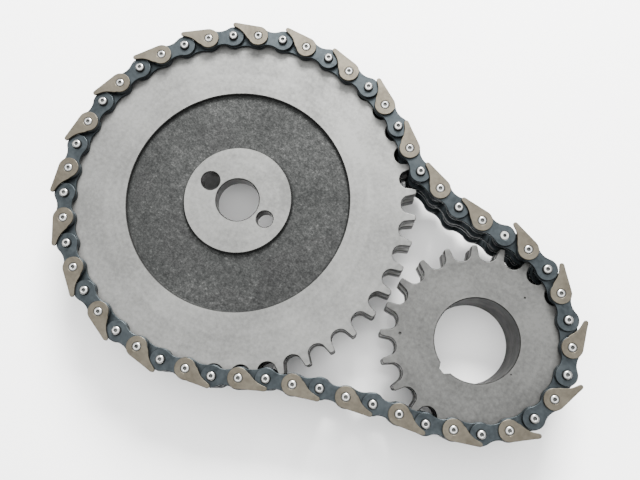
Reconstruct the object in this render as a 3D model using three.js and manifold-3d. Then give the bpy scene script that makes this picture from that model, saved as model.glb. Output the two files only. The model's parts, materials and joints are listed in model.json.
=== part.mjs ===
// Timing drive set: a double-row (duplex) roller chain, closed into a loop,
// lying round a large and a small two-row sprocket. Millimetres, +Z up.
// The set stands on the back faces of both hubs, with all its axes vertical.
// +X runs from the large sprocket to the small one.
import * as THREE from "three";
import { mergeVertices } from "three/addons/utils/BufferGeometryUtils.js";
import Module from "manifold-3d";

// ---- driving dimensions -------------------------------------------------
const PITCH = 9.525; // chain pitch, 3/8 in
const MID_Z = 16.4; // height of the plane between the two rows
const ROLLER_R = 3.175;
const PIN_R = 1.64;
const BUSH_HOLE_R = 2.12;
const INNER_HEAD_R = 4.1; // rounded end of an inner plate
const INNER_WAIST = 3.05;
const OUTER_HEAD_R = 3.9;
const OUTER_WAIST = 2.6;
const MIDDLE_HALF = 2.2; // the middle plates of the inner link, half their stack
const INNER_PLATE = [7.98, 9.28]; // outermost inner plates, from the mid-plane
const OUTER_PLATE = [9.5, 10.8];
const FIN = [11.0, 11.9]; // guide fin on the end of the second pin
const PIN_END = 12.1;
const PIN_BACK = 10.7; // pins end inside the back plates
const ROW = [2.52, 7.72]; // a tooth row, from the mid-plane
const FIN_HEAD_R = 3.8;
const FIN_TIP_R = 0.9;
const FIN_REACH = 10.86; // pin centre to fin tip
const FIN_ANGLE = -17.5; // degrees from the link's own line, away from the loop
const PLUG_TOP = 10.9; // low plug where the pin would end on the opened pivot
const LOOSE = 0.3; // gap round the separate pieces of the joining link

const CENTRES = 100.2661; // distance between the sprocket centres
const BIG = { teeth: 42, phase: 3.29160, hubR: 20.1, recessR: 41.5, boreR: 7.95 };
const SMALL = { teeth: 21, phase: 8.85436, hubR: 24, boreR: 15 };
const TOOTH_RISE = 2.55; // tooth tip above the pitch circle
const TOOTH_TIP_HALF = 0.7;
const SEAT_R = 3.5; // tooth gap radius
const RECESS_DEPTH = 1.8;
const WEB_BACK = 10.7;
const SHIFT = [-34.9085, 0.1329]; // puts the middle of the outline at x = 0, y = 0

// Pin centres round the loop, counter-clockwise from above, one pitch apart,
// measured from the large sprocket's centre.
const PINS = [
  [-26.6508, 57.8893], [-34.9811, 53.2706], [-42.5299, 47.4619],
  [-49.1287, 40.5931], [-54.6301, 32.8174], [-58.9111, 24.3087],
  [-61.8761, 15.2569], [-63.4590, 5.8644], [-63.6242, -3.6592],
  [-62.3682, -13.1010], [-59.7190, -22.2502], [-55.7358, -30.9023],
  [-50.5075, -38.8642], [-44.1510, -45.9578], [-36.8082, -52.0249],
  [-28.6431, -56.9298], [-19.8383, -60.5630], [-10.5903, -62.8433],
  [-1.1057, -63.7198], [8.4036, -63.1728], [17.7252, -61.2148],
  [26.9148, -58.7094], [35.4137, -54.4089], [43.7161, -49.7404],
  [52.7043, -46.5878], [61.4658, -42.8513], [70.7344, -40.6564],
  [79.8680, -37.9540], [89.2261, -36.1783], [98.5778, -34.3700],
  [107.5303, -31.1174], [116.3796, -27.5938], [123.7971, -21.6183],
  [129.1238, -13.7220], [131.8863, -4.6064], [131.8393, 4.9185],
  [128.9869, 14.0063], [123.5824, 21.8497], [117.0043, 28.7383],
  [109.0411, 33.9645], [99.9410, 36.7776], [90.4278, 37.2526],
  [80.9140, 37.7138], [71.3899, 37.8490], [62.2422, 40.5031],
  [52.9597, 42.6385], [45.1844, 48.1404], [37.2768, 53.4503],
  [28.9550, 58.0843], [19.9896, 61.3009], [10.5903, 62.8433],
  [1.1057, 63.7198], [-8.4036, 63.1728], [-17.7252, 61.2148],
];

// ---- helpers ------------------------------------------------------------
const wasm = await Module();
wasm.setup();
const { Manifold, Mesh: MMesh } = wasm;

function toSolid(geometry) {
  const g = geometry.clone();
  for (const name of Object.keys(g.attributes))
    if (name !== "position") g.deleteAttribute(name);
  const m = mergeVertices(g, 1e-4);
  return new Manifold(
    new MMesh({
      numProp: 3,
      vertProperties: new Float32Array(m.attributes.position.array),
      triVerts: new Uint32Array(m.index.array),
    }),
  );
}

function toGeometry(solid) {
  const m = solid.getMesh();
  const g = new THREE.BufferGeometry();
  const v = new Float32Array((m.vertProperties.length / m.numProp) * 3);
  for (let i = 0; i < v.length / 3; i++)
    for (let k = 0; k < 3; k++) v[3 * i + k] = m.vertProperties[i * m.numProp + k];
  g.setAttribute("position", new THREE.BufferAttribute(v, 3));
  g.setIndex(new THREE.BufferAttribute(new Uint32Array(m.triVerts), 1));
  g.computeVertexNormals();
  return g;
}

// A closed outline raised from z0 to z1.
function slab(points, z0, z1) {
  const shape = new THREE.Shape(points.map(([x, y]) => new THREE.Vector2(x, y)));
  const g = new THREE.ExtrudeGeometry(shape, {
    depth: z1 - z0,
    bevelEnabled: false,
    steps: 1,
  });
  g.translate(0, 0, z0);
  return toSolid(g);
}

function ngon(cx, cy, r, n, start = 0) {
  return Array.from({ length: n }, (_, i) => {
    const a = start + (2 * Math.PI * i) / n;
    return [cx + r * Math.cos(a), cy + r * Math.sin(a)];
  });
}

const rod = (cx, cy, r, n, z0, z1, start = Math.PI / n) =>
  slab(ngon(cx, cy, r, n, start), z0, z1);

// A ring of rectangular section.
function ring(r0, r1, z0, z1, n = 32) {
  const g = new THREE.LatheGeometry(
    [
      new THREE.Vector2(r0, z0),
      new THREE.Vector2(r1, z0),
      new THREE.Vector2(r1, z1),
      new THREE.Vector2(r0, z1),
      new THREE.Vector2(r0, z0),
    ],
    n,
  );
  g.rotateX(Math.PI / 2);
  g.scale(1, 1, -1);
  g.index.array.reverse();
  let s = toSolid(g);
  if (s.volume() < 0) {
    g.index.array.reverse();
    s = toSolid(g);
  }
  return s;
}

const join = (...s) => s.reduce((a, b) => a.add(b));
const cut = (a, ...s) => s.reduce((x, y) => x.subtract(y), a);

// Waisted plate between pin centres at x = 0 and x = PITCH.
function plateOutline(head, waist) {
  const deg = (d) => (d * Math.PI) / 180;
  const right = [-66, -22, 22, 66].map((d) => [
    PITCH + head * Math.cos(deg(d)),
    head * Math.sin(deg(d)),
  ]);
  const left = [114, 158, 202, 246].map((d) => [
    head * Math.cos(deg(d)),
    head * Math.sin(deg(d)),
  ]);
  return [...right, [PITCH / 2, waist], ...left, [PITCH / 2, -waist]];
}

const plate = (head, waist, z0, z1) => slab(plateOutline(head, waist), z0, z1);

// Guide fin: round head over the second pin, tail pointing on along the chain.
function finOutline() {
  const a = (FIN_ANGLE * Math.PI) / 180;
  const half = [
    [3.6, 1.7],
    [7.0, FIN_TIP_R + 0.1],
    [FIN_REACH, FIN_TIP_R - 0.25],
  ];
  const pts = [
    ...half.map(([u, v]) => [u, -v]),
    ...[...half].reverse(),
    ...[75, 128, 180, 232, 285].map((d) => [
      FIN_HEAD_R * Math.cos((d * Math.PI) / 180),
      FIN_HEAD_R * Math.sin((d * Math.PI) / 180),
    ]),
  ];
  return pts.map(([u, v]) => [
    PITCH + u * Math.cos(a) - v * Math.sin(a),
    u * Math.sin(a) + v * Math.cos(a),
  ]);
}

// ---- the two kinds of link ----------------------------------------------
// Outer link: front and back outer plates, their two long pins and the fin.
function outerLink() {
  return join(
    plate(OUTER_HEAD_R, OUTER_WAIST, ...OUTER_PLATE),
    plate(OUTER_HEAD_R, OUTER_WAIST, -OUTER_PLATE[1], -OUTER_PLATE[0]),
    slab(finOutline(), ...FIN),
    rod(0, 0, PIN_R, 6, -PIN_BACK, PIN_END),
    rod(PITCH, 0, PIN_R, 6, -PIN_BACK, PIN_END),
  );
}

// Inner link: plates of both rows with their two bushes and rollers.
function innerLink() {
  return cut(
    join(
      plate(INNER_HEAD_R, INNER_WAIST, ...INNER_PLATE),
      plate(INNER_HEAD_R, INNER_WAIST, -MIDDLE_HALF, MIDDLE_HALF),
      plate(INNER_HEAD_R, INNER_WAIST, -INNER_PLATE[1], -INNER_PLATE[0]),
      rod(0, 0, ROLLER_R, 8, -8.6, 8.6),
      rod(PITCH, 0, ROLLER_R, 8, -8.6, 8.6),
    ),
    rod(0, 0, BUSH_HOLE_R, 6, -12, 12),
    rod(PITCH, 0, BUSH_HOLE_R, 6, -12, 12),
  );
}

// ---- sprockets ----------------------------------------------------------
function toothOutline({ teeth, phase }) {
  const rp = PITCH / (2 * Math.sin(Math.PI / teeth));
  const step = (2 * Math.PI) / teeth;
  const rt = rp + TOOTH_RISE;
  const pts = [];
  for (let i = 0; i < teeth; i++) {
    const a = (phase * Math.PI) / 180 + i * step;
    const [cx, cy] = [rp * Math.cos(a), rp * Math.sin(a)];
    for (const d of [-60, -20, 20, 60]) {
      const b = a + Math.PI + (-d * Math.PI) / 180;
      pts.push([cx + SEAT_R * Math.cos(b), cy + SEAT_R * Math.sin(b)]);
    }
    const h = TOOTH_TIP_HALF / rt;
    for (const b of [a + step / 2 - h, a + step / 2 + h])
      pts.push([rt * Math.cos(b), rt * Math.sin(b)]);
  }
  return pts;
}

function toothRows(spec) {
  const rp = PITCH / (2 * Math.sin(Math.PI / spec.teeth));
  const o = toothOutline(spec);
  const core = rp - INNER_HEAD_R - 0.6;
  return join(
    slab(o, MID_Z + ROW[0], MID_Z + ROW[1]),
    slab(o, MID_Z - ROW[1], MID_Z - ROW[0]),
    rod(0, 0, core, spec.teeth > 30 ? 32 : 20, MID_Z - ROW[1] + 0.2, MID_Z + ROW[1] - 0.2),
  );
}

function bigSprocket() {
  const front = MID_Z + ROW[1];
  const at = (deg, r) => [
    r * Math.cos((deg * Math.PI) / 180),
    r * Math.sin((deg * Math.PI) / 180),
  ];
  const h1 = at(175, 12.6);
  const h2 = at(-5, 12.6);
  return cut(
    join(toothRows(BIG), rod(0, 0, BIG.hubR, 32, 0, front)),
    ring(BIG.hubR, BIG.recessR, front - RECESS_DEPTH, front + 1),
    ring(22, 53, -1, WEB_BACK),
    rod(0, 0, BIG.boreR, 24, -1, front + 1),
    rod(h1[0], h1[1], 3.45, 12, -1, front + 1),
    rod(h2[0], h2[1], 3.05, 12, -1, front + 1),
  );
}

function smallSprocket() {
  const front = MID_Z + ROW[1];
  const k = (-110 * Math.PI) / 180;
  const key = [
    [13.5, -1.6],
    [16.1, -0.5],
    [16.1, 0.5],
    [13.5, 1.6],
  ].map(([u, v]) => [
    u * Math.cos(k) - v * Math.sin(k),
    u * Math.sin(k) + v * Math.cos(k),
  ]);
  return cut(
    join(toothRows(SMALL), rod(0, 0, SMALL.hubR, 28, 0, front - 0.2)),
    rod(0, 0, SMALL.boreR, 32, -1, front + 1),
    slab(key, -1, front + 1),
  );
}

// ---- assembly -----------------------------------------------------------
const set = new THREE.Group();
const loop = new THREE.Group();
loop.position.set(SHIFT[0], SHIFT[1], 0);
set.add(loop);

const steel = (color, roughness) => () =>
  new THREE.MeshStandardMaterial({ color, roughness, metalness: 0.9 });
const blued = steel(0x3b4450, 0.38);
const dark = steel(0x2b3038, 0.42);
const bronze = steel(0x8d7463, 0.4);
const bright = steel(0xb9bcc0, 0.3);
const machined = steel(0xa9abad, 0.4);
const grey = steel(0x76787b, 0.45);

function add(name, solid, material, x, y, z, angle = 0) {
  const mesh = new THREE.Mesh(toGeometry(solid), material());
  mesh.name = name;
  mesh.position.set(x, y, z);
  mesh.rotation.z = angle;
  loop.add(mesh);
  return mesh;
}

add("cam_sprocket", bigSprocket(), machined, 0, 0, 0);
add("crank_sprocket", smallSprocket(), grey, CENTRES, 0, 0);

const outer = outerLink();
const inner = innerLink();
const two = (n) => String(n).padStart(2, "0");
const JOINING = 22; // this outer link is the joining link, shown in pieces

for (let i = 0; i < PINS.length; i++) {
  const [x, y] = PINS[i];
  const [nx, ny] = PINS[(i + 1) % PINS.length];
  const angle = Math.atan2(ny - y, nx - x);
  if (i % 2 === 0) {
    add("inner_link_" + two(i / 2 + 1), inner, dark, x, y, MID_Z, angle);
  } else {
    const k = ((i + 1) / 2) % 27 + 1;
    if (k !== JOINING) {
      add("outer_link_" + two(k), outer, blued, x, y, MID_Z, angle);
      continue;
    }
    // Joining link: the pin at its second end goes through both plates and
    // the fin. At its first end the pin is short and stays in the bush of the
    // link before it, and the front plate has a low plug in its place that
    // passes under the fin of the outer link before it, so the loop can be
    // opened there.
    const hole = rod(PITCH, 0, PIN_R + LOOSE, 8, -13, 13);
    const place = [x, y, MID_Z, angle];
    add(
      "joining_link_front_plate",
      cut(
        join(
          plate(OUTER_HEAD_R, OUTER_WAIST, OUTER_PLATE[0], OUTER_PLATE[1] - 0.1),
          rod(0, 0, PIN_R, 6, OUTER_PLATE[0] + 0.3, PLUG_TOP),
        ),
        hole,
      ),
      blued,
      ...place,
    );
    add(
      "joining_link_back_plate",
      cut(
        plate(OUTER_HEAD_R, OUTER_WAIST, -OUTER_PLATE[1], -OUTER_PLATE[0]),
        hole,
      ),
      blued,
      ...place,
    );
    add(
      "joining_link_fin",
      cut(slab(finOutline(), ...FIN), hole),
      bronze,
      ...place,
    );
    add(
      "joining_link_pin",
      rod(PITCH, 0, PIN_R, 6, -PIN_BACK, PIN_END),
      bright,
      ...place,
    );
    add("opened_pivot_pin", rod(0, 0, PIN_R, 6, -9.1, 9.1), bright, ...place);
  }
}

export default set;
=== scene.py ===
import json
import math

import bmesh
import bpy
from mathutils import Matrix, Vector


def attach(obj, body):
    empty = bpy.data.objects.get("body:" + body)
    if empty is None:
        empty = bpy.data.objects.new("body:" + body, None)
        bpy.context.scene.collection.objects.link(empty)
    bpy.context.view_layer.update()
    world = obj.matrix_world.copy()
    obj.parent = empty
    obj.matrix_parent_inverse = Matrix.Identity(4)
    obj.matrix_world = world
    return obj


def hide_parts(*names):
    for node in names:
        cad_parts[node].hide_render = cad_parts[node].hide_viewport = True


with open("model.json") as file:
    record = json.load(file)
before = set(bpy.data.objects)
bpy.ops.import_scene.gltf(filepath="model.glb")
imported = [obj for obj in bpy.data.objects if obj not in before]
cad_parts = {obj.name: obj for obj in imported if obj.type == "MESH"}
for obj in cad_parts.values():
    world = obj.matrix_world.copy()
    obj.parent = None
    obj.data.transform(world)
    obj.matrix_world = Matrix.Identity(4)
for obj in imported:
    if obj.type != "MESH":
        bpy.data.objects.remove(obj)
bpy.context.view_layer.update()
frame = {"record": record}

scene = bpy.context.scene

# ---- sizes, mm ------------------------------------------------------------
PITCH = 9.525
MID_Z = 16.4
ROLLER_R = 3.175
PIN_R = 1.6
PIN_END = 12.1
FRONT = 24.12
TOP_ROW = (18.92, 24.12)
LOW_ROW = (8.68, 13.88)
BIG = (-34.9085, 0.1329)
SMALL = (-34.9085 + 100.2661, 0.1329)
BIG_PHASE, SMALL_PHASE = 3.29160, 8.85436
PINS = [
  (-26.6508, 57.8893), (-34.9811, 53.2706), (-42.5299, 47.4619),
  (-49.1287, 40.5931), (-54.6301, 32.8174), (-58.9111, 24.3087),
  (-61.8761, 15.2569), (-63.4590, 5.8644), (-63.6242, -3.6592),
  (-62.3682, -13.1010), (-59.7190, -22.2502), (-55.7358, -30.9023),
  (-50.5075, -38.8642), (-44.1510, -45.9578), (-36.8082, -52.0249),
  (-28.6431, -56.9298), (-19.8383, -60.5630), (-10.5903, -62.8433),
  (-1.1057, -63.7198), (8.4036, -63.1728), (17.7252, -61.2148),
  (26.9148, -58.7094), (35.4137, -54.4089), (43.7161, -49.7404),
  (52.7043, -46.5878), (61.4658, -42.8513), (70.7344, -40.6564),
  (79.8680, -37.9540), (89.2261, -36.1783), (98.5778, -34.3700),
  (107.5303, -31.1174), (116.3796, -27.5938), (123.7971, -21.6183),
  (129.1238, -13.7220), (131.8863, -4.6064), (131.8393, 4.9185),
  (128.9869, 14.0063), (123.5824, 21.8497), (117.0043, 28.7383),
  (109.0411, 33.9645), (99.9410, 36.7776), (90.4278, 37.2526),
  (80.9140, 37.7138), (71.3899, 37.8490), (62.2422, 40.5031),
  (52.9597, 42.6385), (45.1844, 48.1404), (37.2768, 53.4503),
  (28.9550, 58.0843), (19.9896, 61.3009), (10.5903, 62.8433),
  (1.1057, 63.7198), (-8.4036, 63.1728), (-17.7252, 61.2148),
]
PINS = [(x + BIG[0], y + BIG[1]) for x, y in PINS]
JOINING = 22
JOIN_START = 41


# ---- mesh helpers ----------------------------------------------------------
def new_object(name, mesh):
    o = bpy.data.objects.new(name, mesh)
    scene.collection.objects.link(o)
    return o


def take(obj, name):
    """The evaluated mesh of a temporary object, which is then removed."""
    bpy.context.view_layer.update()
    dg = bpy.context.evaluated_depsgraph_get()
    me = bpy.data.meshes.new_from_object(obj.evaluated_get(dg), depsgraph=dg)
    me.name = name
    data = obj.data
    bpy.data.objects.remove(obj)
    (bpy.data.curves if isinstance(data, bpy.types.Curve) else bpy.data.meshes).remove(data)
    return me


def weld(me, dist=1e-4):
    bm = bmesh.new()
    bm.from_mesh(me)
    bmesh.ops.remove_doubles(bm, verts=bm.verts, dist=dist)
    bmesh.ops.dissolve_degenerate(bm, edges=bm.edges, dist=1e-5)
    bmesh.ops.recalc_face_normals(bm, faces=bm.faces)
    if bm.calc_volume(signed=True) < 0:
        bmesh.ops.reverse_faces(bm, faces=bm.faces)
    bm.to_mesh(me)
    bm.free()
    return me


def slab(loops, z0, z1, bevel=0.15, res=2):
    """Closed outlines raised from z0 to z1 with rounded edges. The first loop is the outside, the rest are holes."""
    cu = bpy.data.curves.new("tmp", "CURVE")
    cu.dimensions = "2D"
    cu.fill_mode = "BOTH"
    cu.extrude = (z1 - z0) / 2 - bevel
    cu.bevel_depth = bevel
    cu.bevel_resolution = res
    cu.offset = -bevel
    for pts in loops:
        s = cu.splines.new("POLY")
        s.points.add(len(pts) - 1)
        for p, (x, y) in zip(s.points, pts):
            p.co = (x, y, 0, 1)
        s.use_cyclic_u = True
    o = new_object("tmp", cu)
    me = take(o, "slab")
    me.transform(Matrix.Translation((0, 0, (z0 + z1) / 2)))
    return weld(me)


def lathe(profile, cx=0.0, cy=0.0, n=64):
    """A closed profile of (r, z) points turned about the vertical line through cx, cy."""
    bm = bmesh.new()
    rings = []
    for r, z in profile:
        if r < 1e-6:
            rings.append([bm.verts.new((cx, cy, z))])
        else:
            rings.append([
                bm.verts.new((cx + r * math.cos(2 * math.pi * i / n), cy + r * math.sin(2 * math.pi * i / n), z))
                for i in range(n)
            ])
    pairs = list(zip(rings, rings[1:]))
    if len(rings[0]) > 1 or len(rings[-1]) > 1:
        pairs.append((rings[-1], rings[0]))
    for a, b in pairs:
        for i in range(n):
            j = (i + 1) % n
            if len(a) == 1 and len(b) == 1:
                break
            if len(a) == 1:
                bm.faces.new((a[0], b[i], b[j]))
            elif len(b) == 1:
                bm.faces.new((a[i], b[0], a[j]))
            else:
                bm.faces.new((a[i], b[i], b[j], a[j]))
    bmesh.ops.recalc_face_normals(bm, faces=bm.faces)
    if bm.calc_volume(signed=True) < 0:
        bmesh.ops.reverse_faces(bm, faces=bm.faces)
    me = bpy.data.meshes.new("lathe")
    bm.to_mesh(me)
    bm.free()
    return me


def combine(name, parts):
    """parts: (mesh, material index, matrix). One mesh of all the closed shells."""
    bm = bmesh.new()
    for me, mat, mx in parts:
        n0 = len(bm.faces)
        v0 = len(bm.verts)
        bm.from_mesh(me)
        bm.verts.ensure_lookup_table()
        bm.faces.ensure_lookup_table()
        if mx is not None:
            bmesh.ops.transform(bm, matrix=mx, verts=bm.verts[v0:])
        if mat is not None:
            for f in bm.faces[n0:]:
                f.material_index = mat
    me = bpy.data.meshes.new(name)
    bm.to_mesh(me)
    bm.free()
    return me


def boolean(base, others, operation):
    o = new_object("tmp_a", base)
    for i, m in enumerate(others):
        t = new_object("tmp_b", m)
        mod = o.modifiers.new("b%d" % i, "BOOLEAN")
        mod.operation = operation
        mod.object = t
        mod.solver = SOLVER
        me = take_keep(o)
        bpy.data.objects.remove(t)
        bpy.data.objects.remove(o)
        o = new_object("tmp_a", me)
    me = o.data
    bpy.data.objects.remove(o)
    return me


def take_keep(o):
    bpy.context.view_layer.update()
    dg = bpy.context.evaluated_depsgraph_get()
    return bpy.data.meshes.new_from_object(o.evaluated_get(dg), depsgraph=dg)


SOLVER = "MANIFOLD" if "MANIFOLD" in [
    i.identifier for i in bpy.types.BooleanModifier.bl_rna.properties["solver"].enum_items
] else "EXACT"


def shade(me, angle=32):
    """Smooth turned and rounded surfaces, flat ground faces."""
    me.set_sharp_from_angle(angle=math.radians(angle))
    for p in me.polygons:
        p.use_smooth = abs(p.normal.z) < 0.9995
    return me


def to_metres(me):
    me.transform(Matrix.Scale(0.001, 4))
    return me


# ---- materials ---------------------------------------------------------------
def material(name, base, rough, metal, slot):
    m = bpy.data.materials.new(name)
    m.use_nodes = True
    nt = m.node_tree
    b = nt.nodes["Principled BSDF"]
    b.inputs["Base Color"].default_value = (*base, 1)
    b.inputs["Roughness"].default_value = rough
    b.inputs["Metallic"].default_value = metal
    b.inputs["Specular IOR Level"].default_value = 0.2
    return m, nt, b


def coords(nt):
    return nt.nodes.new("ShaderNodeTexCoord").outputs["Object"]


def noise(nt, vec, scale, detail=3, rough=0.5, dist=0.0):
    n = nt.nodes.new("ShaderNodeTexNoise")
    n.inputs["Scale"].default_value = scale
    n.inputs["Detail"].default_value = detail
    n.inputs["Roughness"].default_value = rough
    n.inputs["Distortion"].default_value = dist
    nt.links.new(vec, n.inputs["Vector"])
    return n.outputs["Fac"]


def ramp(nt, fac, stops):
    r = nt.nodes.new("ShaderNodeValToRGB")
    el = r.color_ramp.elements
    while len(el) < len(stops):
        el.new(0.5)
    for e, (p, c) in zip(el, stops):
        e.position = p
        e.color = (*c, 1) if len(c) == 3 else c
    nt.links.new(fac, r.inputs["Fac"])
    return r.outputs["Color"]


def mapping(nt, vec, scale=(1, 1, 1), loc=(0, 0, 0), rot=(0, 0, 0)):
    n = nt.nodes.new("ShaderNodeMapping")
    n.inputs["Scale"].default_value = scale
    n.inputs["Location"].default_value = loc
    n.inputs["Rotation"].default_value = rot
    nt.links.new(vec, n.inputs["Vector"])
    return n.outputs["Vector"]


def math_node(nt, op, a, b=None):
    n = nt.nodes.new("ShaderNodeMath")
    n.operation = op
    for i, v in enumerate((a, b)):
        if v is None:
            continue
        if isinstance(v, (int, float)):
            n.inputs[i].default_value = v
        else:
            nt.links.new(v, n.inputs[i])
    return n.outputs[0]


def mix(nt, fac, a, b):
    n = nt.nodes.new("ShaderNodeMix")
    n.data_type = "RGBA"
    if isinstance(fac, (int, float)):
        n.inputs[0].default_value = fac
    else:
        nt.links.new(fac, n.inputs[0])
    for s, v in ((6, a), (7, b)):
        if isinstance(v, tuple):
            n.inputs[s].default_value = (*v, 1)
        else:
            nt.links.new(v, n.inputs[s])
    return n.outputs[2]


def bump(nt, b, height, strength, distance):
    n = nt.nodes.new("ShaderNodeBump")
    n.inputs["Strength"].default_value = strength
    n.inputs["Distance"].default_value = distance
    nt.links.new(height, n.inputs["Height"])
    nt.links.new(n.outputs["Normal"], b.inputs["Normal"])


def radius(nt, vec, centre):
    """Distance from a sprocket's axis, in metres."""
    v = mapping(nt, vec, loc=(-centre[0] / 1000, -centre[1] / 1000, 0))
    sep = nt.nodes.new("ShaderNodeSeparateXYZ")
    nt.links.new(v, sep.inputs[0])
    x2 = math_node(nt, "MULTIPLY", sep.outputs[0], sep.outputs[0])
    y2 = math_node(nt, "MULTIPLY", sep.outputs[1], sep.outputs[1])
    return math_node(nt, "SQRT", math_node(nt, "ADD", x2, y2)), v


def ground_face(name, centre, dark, light, rough, turn):
    """A faced surface: fine rings about the axis, faint stains and a few scuffs."""
    m, nt, b = material(name, light, rough, 0.55, "")
    vec = coords(nt)
    r, _ = radius(nt, vec, centre)
    rr = nt.nodes.new("ShaderNodeCombineXYZ")
    nt.links.new(r, rr.inputs[0])
    rings = noise(nt, rr.outputs[0], turn, 1, 0.5)
    stain = noise(nt, vec, 42, 4, 0.6)
    grain = noise(nt, vec, 700, 3, 0.65)
    f = math_node(nt, "ADD", math_node(nt, "MULTIPLY", rings, 0.16), math_node(nt, "MULTIPLY", stain, 0.50))
    f = math_node(nt, "ADD", f, math_node(nt, "MULTIPLY", grain, 0.34))
    nt.links.new(ramp(nt, f, [(0.39, dark), (0.61, light)]), b.inputs["Base Color"])
    nt.links.new(ramp(nt, f, [(0.36, (rough + 0.1,) * 3), (0.64, (rough - 0.08,) * 3)]), b.inputs["Roughness"])
    bump(nt, b, grain, 0.12, 0.00005)
    return m


def steel(name, dark, light, rough, metal=0.7, scale=900, stain=180, strength=0.2, stretch=None):
    m, nt, b = material(name, light, rough, metal, "")
    vec = coords(nt)
    g = noise(nt, mapping(nt, vec, scale=stretch) if stretch else vec, scale, 3, 0.6)
    s = noise(nt, vec, stain, 4, 0.6, 0.3)
    f = math_node(nt, "ADD", math_node(nt, "MULTIPLY", g, 0.4), math_node(nt, "MULTIPLY", s, 0.6))
    nt.links.new(ramp(nt, f, [(0.36, dark), (0.64, light)]), b.inputs["Base Color"])
    nt.links.new(ramp(nt, f, [(0.3, (rough + 0.08,) * 3), (0.7, (max(rough - 0.08, 0.05),) * 3)]), b.inputs["Roughness"])
    bump(nt, b, g, strength, 0.00005)
    return m


cam_face = ground_face("cam_face", BIG, (0.074, 0.0745, 0.0725), (0.122, 0.1225, 0.1190), 0.5, 380)
crank_face = ground_face("crank_face", SMALL, (0.036, 0.0362, 0.0352), (0.067, 0.0673, 0.0650), 0.5, 380)
# Tooth walls and chamfers: the sprockets' own steel made several times darker than the faces, painted shade on walls
# that face away from the light above.
cam_side_painted_shade = steel("cam_side_painted_shade", (0.016, 0.016, 0.0158), (0.038, 0.038, 0.037), 0.45)
crank_side_painted_shade = steel("crank_side_painted_shade", (0.013, 0.013, 0.0128), (0.030, 0.030, 0.029), 0.42)
# Bore and keyway walls of the crank sprocket: the same steel made darker still, painted shade inside the bore.
crank_bore_painted_shade = steel("crank_bore_painted_shade", (0.010, 0.010, 0.0098), (0.022, 0.022, 0.0215), 0.55, 0.6, stretch=(1, 1, 8))
bore_steel = steel("bore_steel", (0.040, 0.040, 0.039), (0.080, 0.080, 0.078), 0.35, stretch=(1, 1, 8))


def cast_skin():
    m, nt, b = material("cast_skin", (0.1, 0.1, 0.1), 0.6, 0.35, "")
    vec = coords(nt)
    fine = noise(nt, vec, 1500, 3, 0.7)
    mid = noise(nt, vec, 520, 4, 0.7, 0.2)
    wide = noise(nt, vec, 45, 3, 0.5)
    v = nt.nodes.new("ShaderNodeTexVoronoi")
    v.inputs["Scale"].default_value = 1500
    nt.links.new(vec, v.inputs["Vector"])
    f = math_node(nt, "ADD", math_node(nt, "MULTIPLY", fine, 0.5), math_node(nt, "MULTIPLY", mid, 0.35))
    f = math_node(nt, "ADD", f, math_node(nt, "MULTIPLY", wide, 0.15))
    c = ramp(nt, f, [(0.36, (0.0030, 0.0035, 0.0035)), (0.50, (0.0115, 0.0122, 0.0119)), (0.60, (0.024, 0.0248, 0.0242)), (0.72, (0.105, 0.105, 0.102))])
    nt.links.new(c, b.inputs["Base Color"])
    nt.links.new(ramp(nt, f, [(0.35, (0.75,) * 3), (0.7, (0.42,) * 3)]), b.inputs["Roughness"])
    h = math_node(nt, "ADD", math_node(nt, "MULTIPLY", f, 0.8), math_node(nt, "MULTIPLY", v.outputs["Distance"], 0.2))
    bump(nt, b, h, 0.7, 0.00025)
    return m


cast = cast_skin()
blued = steel("blued_plate", (0.011, 0.0138, 0.0155), (0.026, 0.0310, 0.0340), 0.36, 0.85, 700, 160)
inner_blued = steel("inner_plate", (0.009, 0.0115, 0.0130), (0.022, 0.0265, 0.0290), 0.38, 0.85, 700, 160)
bronze = steel("fin_bronze", (0.041, 0.0360, 0.0275), (0.070, 0.0625, 0.0485), 0.42, 0.75, 800, 110, 0.25)
bright = steel("pin_bright", (0.22, 0.22, 0.216), (0.36, 0.36, 0.35), 0.27, 0.95, 1500, 400)
# Dark steel for the pins' drilled centres and side walls: on the side walls it is painted shade; in the drilled centre
# it is partly the unground hollow and partly painted shade.
dark_pin_wall_shade = steel("pin_centre_and_wall_painted_shade", (0.018, 0.019, 0.019), (0.045, 0.046, 0.045), 0.5, 0.6)
roller_steel = steel("roller_steel", (0.025, 0.028, 0.030), (0.060, 0.064, 0.066), 0.25, 0.9, 900, 300, 0.15, (1, 1, 6))


# ---- link shapes ---------------------------------------------------------------
def arc(cx, cy, r, a0, a1, n):
    return [
        (cx + r * math.cos(math.radians(a0 + (a1 - a0) * i / n)), cy + r * math.sin(math.radians(a0 + (a1 - a0) * i / n)))
        for i in range(n + 1)
    ]


def figure_eight(head, waist, n=14):
    """Waisted outline: two round heads joined by two hollow arcs."""
    h = PITCH / 2
    # a hollow arc of radius R centred at (h, waist + R) touches both heads
    R = (h * h + waist * waist - head * head) / (2 * (head - waist))
    a = math.degrees(math.atan2(waist + R, h))
    right = arc(PITCH, 0, head, -(180 - a), 180 - a, 2 * n)
    top = arc(h, waist + R, R, -a, a - 180, n)[1:-1]
    left = arc(0, 0, head, a, 360 - a, 2 * n)
    bottom = arc(h, -waist - R, R, 180 - a, a, n)[1:-1]
    return right + top + left + bottom


def circle(x, y, r, n=28):
    return arc(x, y, r, 0, 360, n)[:-1]


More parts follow.
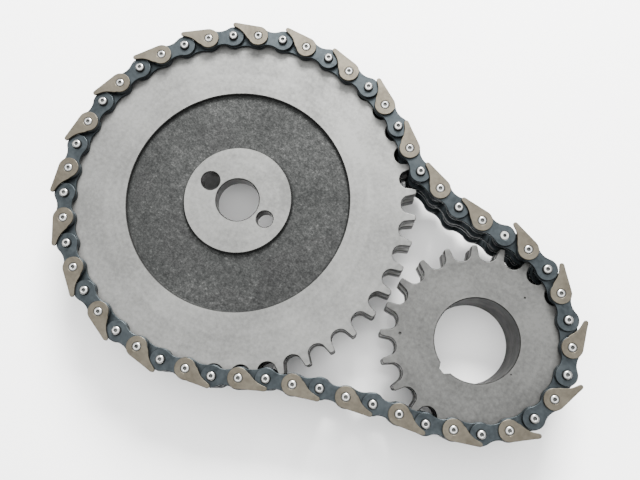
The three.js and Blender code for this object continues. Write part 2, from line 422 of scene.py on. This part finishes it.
def fin_outline():
    """Teardrop: round head over the pin, straight outer edge, hollow inner edge, blunt tip."""
    a = math.radians(-17.5)
    pts = arc(0, 0, 3.78, 53, 287.2, 34)
    pts += [(8.5, -1.33), (9.6, -1.04), (10.2, -0.84), (10.58, -0.60), (10.78, -0.28), (10.84, 0.08), (10.72, 0.46), (10.4, 0.72), (9.9, 0.83)]
    pts += [(9.0, 0.845), (8.2, 0.87), (7.5, 0.94), (6.7, 1.11), (5.8, 1.39), (4.95, 1.79), (4.15, 2.26), (3.45, 2.68)]
    return [(PITCH + u * math.cos(a) - v * math.sin(a), u * math.sin(a) + v * math.cos(a)) for u, v in pts]


def pin_profile(top, bottom, r=PIN_R, dimple=True):
    """Riveted pin: rounded ends, a small drilled centre in the top."""
    e = 0.28
    prof = []
    if dimple:
        prof += [(0, top - 0.55), (0.50, top - 0.50), (0.64, top - 0.10), (0.76, top - 0.01)]
    else:
        prof += [(0, top)]
    prof += [(r - 0.52, top), (r - 0.30, top - 0.07), (r - 0.13, top - 0.20), (r - 0.03, top - 0.38), (r, top - 0.55)]
    prof += [(r, bottom + e), (r - 0.08, bottom + 0.1), (r - e, bottom)]
    prof += [(0.68, bottom), (0.55, bottom + 0.12), (0.45, bottom + 0.7), (0, bottom + 0.75)]
    return prof


def pin_mesh(top, bottom, x):
    me = lathe(pin_profile(top, bottom), x, 0, 28)
    for p in me.polygons:
        r = math.hypot(p.center.x - x, p.center.y)
        # slot 2, the dark pin steel, on the drilled centre and the side wall: painted shade on the wall, partly painted
        # shade in the centre
        p.material_index = 2 if r < 0.62 or (r > 1.4 and abs(p.normal.z) < 0.3) else 1
    return me


OUT_HEAD, OUT_WAIST = 3.92, 2.72
IN_HEAD, IN_WAIST = 4.1, 3.1
hole_o = [circle(0, 0, PIN_R + 0.03), circle(PITCH, 0, PIN_R + 0.03)]
outer_front = slab([figure_eight(OUT_HEAD, OUT_WAIST)] + hole_o, 9.5, 10.8, 0.2)
outer_back = slab([figure_eight(OUT_HEAD, OUT_WAIST)] + hole_o, -10.8, -9.5, 0.2)
middle_plate = slab([figure_eight(OUT_HEAD, OUT_WAIST)] + hole_o, -0.75, 0.75, 0.15)
fin_mesh = slab([fin_outline(), circle(PITCH, 0, PIN_R + 0.03)], 10.96, 11.86, 0.16)
pins2 = [pin_mesh(PIN_END, -10.75, 0), pin_mesh(PIN_END, -10.75, PITCH)]
hole_b = [circle(0, 0, 2.4), circle(PITCH, 0, 2.4)]
inner_plates = [slab([figure_eight(IN_HEAD, IN_WAIST)] + hole_b, z0, z1, 0.18) for z0, z1 in ((7.98, 9.26), (0.98, 2.26), (-2.26, -0.98), (-9.26, -7.98))]


def tube(r0, r1, z0, z1, x, e=0.15, n=32):
    return lathe([(r0, z0 + e), (r0 + e, z0), (r1 - e, z0), (r1, z0 + e), (r1, z1 - e), (r1 - e, z1), (r0 + e, z1), (r0, z1 - e)], x, 0, n)


bushes = [tube(1.72, 2.37, z0, z1, x) for x in (0, PITCH) for z0, z1 in ((0.98, 9.26), (-9.26, -0.98))]
rollers = [tube(2.45, ROLLER_R, z0, z1, x, 0.2) for x in (0, PITCH) for z0, z1 in ((2.36, 7.88), (-7.88, -2.36))]

outer_base = combine("outer", [(outer_front, 0, None), (middle_plate, 0, None), (outer_back, 0, None)] + [(p, None, None) for p in pins2])
inner_base = combine("inner", [(p, 0, None) for p in inner_plates] + [(b, 1, None) for b in bushes] + [(r, 1, None) for r in rollers])

body_of_node = {n: b for b, ns in frame["record"]["behaviour"]["bodies"].items() for n in ns}


def put(name, base, mats, mx, node, replaces=True):
    me = base.copy()
    me.name = name
    me.transform(mx)
    to_metres(me)
    for m in mats:
        me.materials.append(m)
    shade(me)
    o = new_object(name, me)
    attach(o, body_of_node[node])
    if replaces:
        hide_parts(node)
    return o


def two(n):
    return "%02d" % n


for i in range(54):
    x, y = PINS[i]
    nx, ny = PINS[(i + 1) % 54]
    mx = Matrix.Translation((x, y, MID_Z)) @ Matrix.Rotation(math.atan2(ny - y, nx - x), 4, "Z")
    if i % 2 == 0:
        n = "inner_link_" + two(i // 2 + 1)
        put("detail_" + n, inner_base, [inner_blued, roller_steel], mx, n)
        continue
    k = ((i + 1) // 2) % 27 + 1
    if k != JOINING:
        n = "outer_link_" + two(k)
        put("detail_" + n, outer_base, [blued, bright, dark_pin_wall_shade], mx, n)
        put("guide_fin_" + two(k), fin_mesh, [bronze], mx, n, replaces=False)
        continue
    plug = lathe([(0, 10.25), (0.45, 10.28), (0.55, 10.78), (0.68, 10.88), (PIN_R - 0.2, 10.88), (PIN_R, 10.75), (PIN_R, 9.6), (0, 9.6)], 0, 0, 28)
    for p in plug.polygons:
        # slot 2, the dark pin steel, in the drilled centre: partly the unground hollow, partly painted shade
        p.material_index = 2 if math.hypot(p.center.x, p.center.y) < 0.52 and p.center.z > 10 else 1
    front = combine("jf", [(outer_front, 0, None), (plug, None, None)])
    put("detail_joining_front_plate", front, [blued, bright, dark_pin_wall_shade], mx, "joining_link_front_plate")
    back = combine("jb", [(outer_back, 0, None), (middle_plate, 0, None)])
    put("detail_joining_back_plate", back, [blued], mx, "joining_link_back_plate")
    put("guide_fin_" + two(k), fin_mesh, [bronze], mx, "joining_link_fin")
    put("detail_joining_pin", pins2[1], [blued, bright, dark_pin_wall_shade], mx, "joining_link_pin")
    short = combine("sp", [
        (lathe([(0, 9.1), (PIN_R - 0.2, 9.1), (PIN_R, 8.9), (PIN_R, 1.2), (PIN_R - 0.2, 1.0), (0, 1.0)], 0, 0, 24), 0, None),
        (lathe([(0, -1.0), (PIN_R - 0.2, -1.0), (PIN_R, -1.2), (PIN_R, -8.9), (PIN_R - 0.2, -9.1), (0, -9.1)], 0, 0, 24), 0, None)])
    put("detail_opened_pivot_pin", short, [bright], mx, "opened_pivot_pin")


# ---- sprockets -------------------------------------------------------------------
def tooth_outline(centre, teeth, phase, seat=3.46, rise=2.25, tip_half=0.92):
    rp = PITCH / (2 * math.sin(math.pi / teeth))
    step = 2 * math.pi / teeth
    rt = rp + rise
    pts = []
    for i in range(teeth):
        a = math.radians(phase) + i * step
        cx, cy = rp * math.cos(a), rp * math.sin(a)
        for d in (-58, -43, -28, -14, 0, 14, 28, 43, 58):
            b = a + math.pi - math.radians(d)
            pts.append((cx + seat * math.cos(b), cy + seat * math.sin(b)))
        # convex flank up to a small rounded tip
        m = a + step / 2
        for hw, r in ((1.30, rp + 0.30), (1.17, rp + 1.10), (tip_half + 0.12, rt - 0.42), (tip_half - 0.12, rt - 0.14), (0.32, rt),
                      (-0.32, rt), (0.12 - tip_half, rt - 0.14), (-tip_half - 0.12, rt - 0.42), (-1.17, rp + 1.10), (-1.30, rp + 0.30)):
            b = m - hw / r
            pts.append((r * math.cos(b), r * math.sin(b)))
    return [(centre[0] + x, centre[1] + y) for x, y in pts]


def cutter(r, centre, z_top, chamfer, z_low=-2.0):
    return lathe([(0, z_low), (r + chamfer, z_low), (r + chamfer, -0.001), (r, chamfer), (r, z_top - chamfer), (r + chamfer, z_top + 0.001), (r + chamfer, z_top + 2), (0, z_top + 2)], *centre, 72)


def sprocket_blank(centre, teeth, phase, hub_r, core_back):
    rp = PITCH / (2 * math.sin(math.pi / teeth))
    o = tooth_outline(centre, teeth, phase)
    top = slab([o], *TOP_ROW, 0.35, 2)
    low = slab([o], *LOW_ROW, 0.35, 2)
    core = lathe([(0, LOW_ROW[0] + 1.0), (rp - 4.9, LOW_ROW[0] + 1.0), (rp - 4.9, TOP_ROW[1] - 1.0), (0, TOP_ROW[1] - 1.0)], *centre, 128)
    hub = lathe([(0, 0), (hub_r - 0.6, 0), (hub_r, 0.6), (hub_r, TOP_ROW[1] - 2.0), (0, TOP_ROW[1] - 2.0)], *centre, 96)
    return boolean(top, [low, core, hub], "UNION")


def recess(r0, r1, z_face, depth, centre, up=1):
    """A ring-shaped pocket with sloped walls and broken edges."""
    s = up
    return lathe([
        (r0 - 0.25, z_face + s * 2), (r0 - 0.25, z_face + s * 0.001), (r0, z_face - s * 0.25),
        (r0 + 0.12, z_face - s * (depth - 0.4)), (r0 + 0.55, z_face - s * depth),
        (r1 - 0.55, z_face - s * depth), (r1 - 0.12, z_face - s * (depth - 0.4)),
        (r1, z_face - s * 0.25), (r1 + 0.25, z_face + s * 0.001), (r1 + 0.25, z_face + s * 2)], *centre, 144)


def dimple(x, y, r, z, depth):
    return lathe([(0, z - depth), (r * 0.6, z - depth * 0.7), (r, z + 0.001), (r, z + 1), (0, z + 1)], x, y, 20)


def finish_sprocket(name, me, mats, centre, pick, node):
    weld(me, 1e-5)
    me.materials.clear()
    vs = me.vertices
    for p in me.polygons:
        r = sum(math.hypot(vs[v].co.x - centre[0], vs[v].co.y - centre[1]) for v in p.vertices) / len(p.vertices)
        p.material_index = pick(r, p.center.z, p.normal)
    to_metres(me)
    for m in mats:
        me.materials.append(m)
    shade(me, 28)
    me.name = name
    o = new_object(name, me)
    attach(o, body_of_node[node])
    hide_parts(node)
    return o


def at(centre, deg, r):
    return (centre[0] + r * math.cos(math.radians(deg)), centre[1] + r * math.sin(math.radians(deg)))


h1, h2 = at(BIG, 175, 12.6), at(BIG, -5, 12.6)
# long pocket in the hub's back, behind the bore and the two small holes
pocket = slab([arc(*at(BIG, 175, 5.1), 11.5, 85, 265, 24) + arc(*at(BIG, -5, 5.1), 11.5, -95, 85, 24)], -2, FRONT - 6.5, 0.02, 0)
cam = sprocket_blank(BIG, 42, BIG_PHASE, 20.1, 0)
cam = boolean(cam, [
    recess(20.1, 41.5, FRONT, 1.8, BIG),
    recess(22.0, 53.0, LOW_ROW[0], 2.0, BIG, -1),
    pocket,
    cutter(7.95, BIG, FRONT, 0.35),
    cutter(3.45, h1, FRONT, 0.3),
    cutter(3.05, h2, FRONT, 0.3)], "DIFFERENCE")


def cam_pick(r, z, n):
    if n.z > 0.5 and 20.0 < r < 41.6 and z < FRONT - 1.0:
        return 1
    if n.z < -0.9 and 22.0 < r < 53.2 and z > LOW_ROW[0] + 1.0:
        return 1
    if r < 17 and abs(n.z) < 0.5:
        return 3
    if abs(n.z) > 0.95:
        return 0
    # tooth walls and chamfers: the darker side steel, painted shade
    return 2


finish_sprocket("detail_cam_sprocket", cam, [cam_face, cast, cam_side_painted_shade, bore_steel], BIG, cam_pick, "cam_sprocket")

crank = sprocket_blank(SMALL, 21, SMALL_PHASE, 24.0, 0)
k = math.radians(-109)
ku = lambda u, v: (SMALL[0] + u * math.cos(k) - v * math.sin(k), SMALL[1] + u * math.sin(k) + v * math.cos(k))
key = slab([[ku(13.0, -2.6), ku(14.7, -2.6), ku(16.6, -1.15), ku(16.6, 1.15), ku(14.7, 2.6), ku(13.0, 2.6)]], -2, FRONT + 2, 0.02, 0)
crank = boolean(crank, [
    cutter(15.0, SMALL, FRONT, 0.3), key,
    dimple(40.9, -11.6, 0.55, FRONT, 0.4),
    dimple(72.6, 21.9, 0.42, FRONT, 0.35),
    dimple(81.1, -4.3, 0.3, FRONT, 0.3)], "DIFFERENCE")


def crank_pick(r, z, n):
    if r < 17.2 and abs(n.z) < 0.4:
        # bore and keyway walls: the darkest steel, painted shade
        return 2
    if r < 17.2 and abs(n.z) < 0.9:
        return 1
    if abs(n.z) > 0.95:
        return 0
    # tooth walls and chamfers: the darker side steel, painted shade
    return 1


finish_sprocket("detail_crank_sprocket", crank, [crank_face, crank_side_painted_shade, crank_bore_painted_shade], SMALL, crank_pick, "crank_sprocket")

# ---- floor, light, camera ---------------------------------------------------------
fm, nt, b = material("floor_paper", (0.80, 0.80, 0.81), 0.9, 0.0, "")
vec = coords(nt)
nt.links.new(ramp(nt, noise(nt, vec, 6, 3), [(0.3, (0.90, 0.90, 0.90)), (0.7, (0.93, 0.93, 0.93))]), b.inputs["Base Color"])
b.inputs["Specular IOR Level"].default_value = 0.1
fme = bpy.data.meshes.new("floor")
fme.from_pydata([(-3, -3, -0.0002), (3, -3, -0.0002), (3, 3, -0.0002), (-3, 3, -0.0002)], [], [(0, 1, 2, 3)])
floor = new_object("floor", fme)
floor.data.materials.append(fm)

w = bpy.data.worlds.new("studio")
scene.world = w
w.use_nodes = True
bg = w.node_tree.nodes["Background"]
bg.inputs["Color"].default_value = (0.97, 0.98, 1.0, 1)
bg.inputs["Strength"].default_value = 0.75

MX = Matrix((
    (0.85549268, -0.5007453, 0.13185755),
    (0.51663164, 0.84260604, -0.15200923),
    (-0.03498606, 0.19816457, 0.97954417)))
CAM = Vector((0.03486156, -0.03839921, 0.28898495))


def area(name, loc, target, size, power, color=(1, 1, 1)):
    L = bpy.data.lights.new(name, "AREA")
    L.shape = "RECTANGLE"
    L.size, L.size_y = size
    L.energy = power
    L.color = color
    o = bpy.data.objects.new(name, L)
    scene.collection.objects.link(o)
    o.location = loc
    o.rotation_euler = (Vector(target) - Vector(loc)).to_track_quat("-Z", "Y").to_euler()
    return o


up = MX @ Vector((0, 1, 0))
rt = MX @ Vector((1, 0, 0))
key_at = Vector((0, 0, 0.42)) + up * 0.62 + rt * 0.10
area("window", key_at, (0, 0, 0), (0.35, 0.30), 36.0, (1.0, 0.995, 0.98))
area("softbox", Vector((0, 0, 0.9)) + up * 0.15, up * 0.02, (1.6, 1.5), 33.0, (1.0, 1.0, 0.99))

cam_data = bpy.data.cameras.new("camera")
cam_data.sensor_width = 36.0
cam_data.lens = 743.0 * 36.0 / 640.0
cam_data.clip_start = 0.01
cam_obj = bpy.data.objects.new("camera", cam_data)
scene.collection.objects.link(cam_obj)
m4 = MX.to_4x4()
m4.translation = CAM
cam_obj.matrix_world = m4
scene.camera = cam_obj
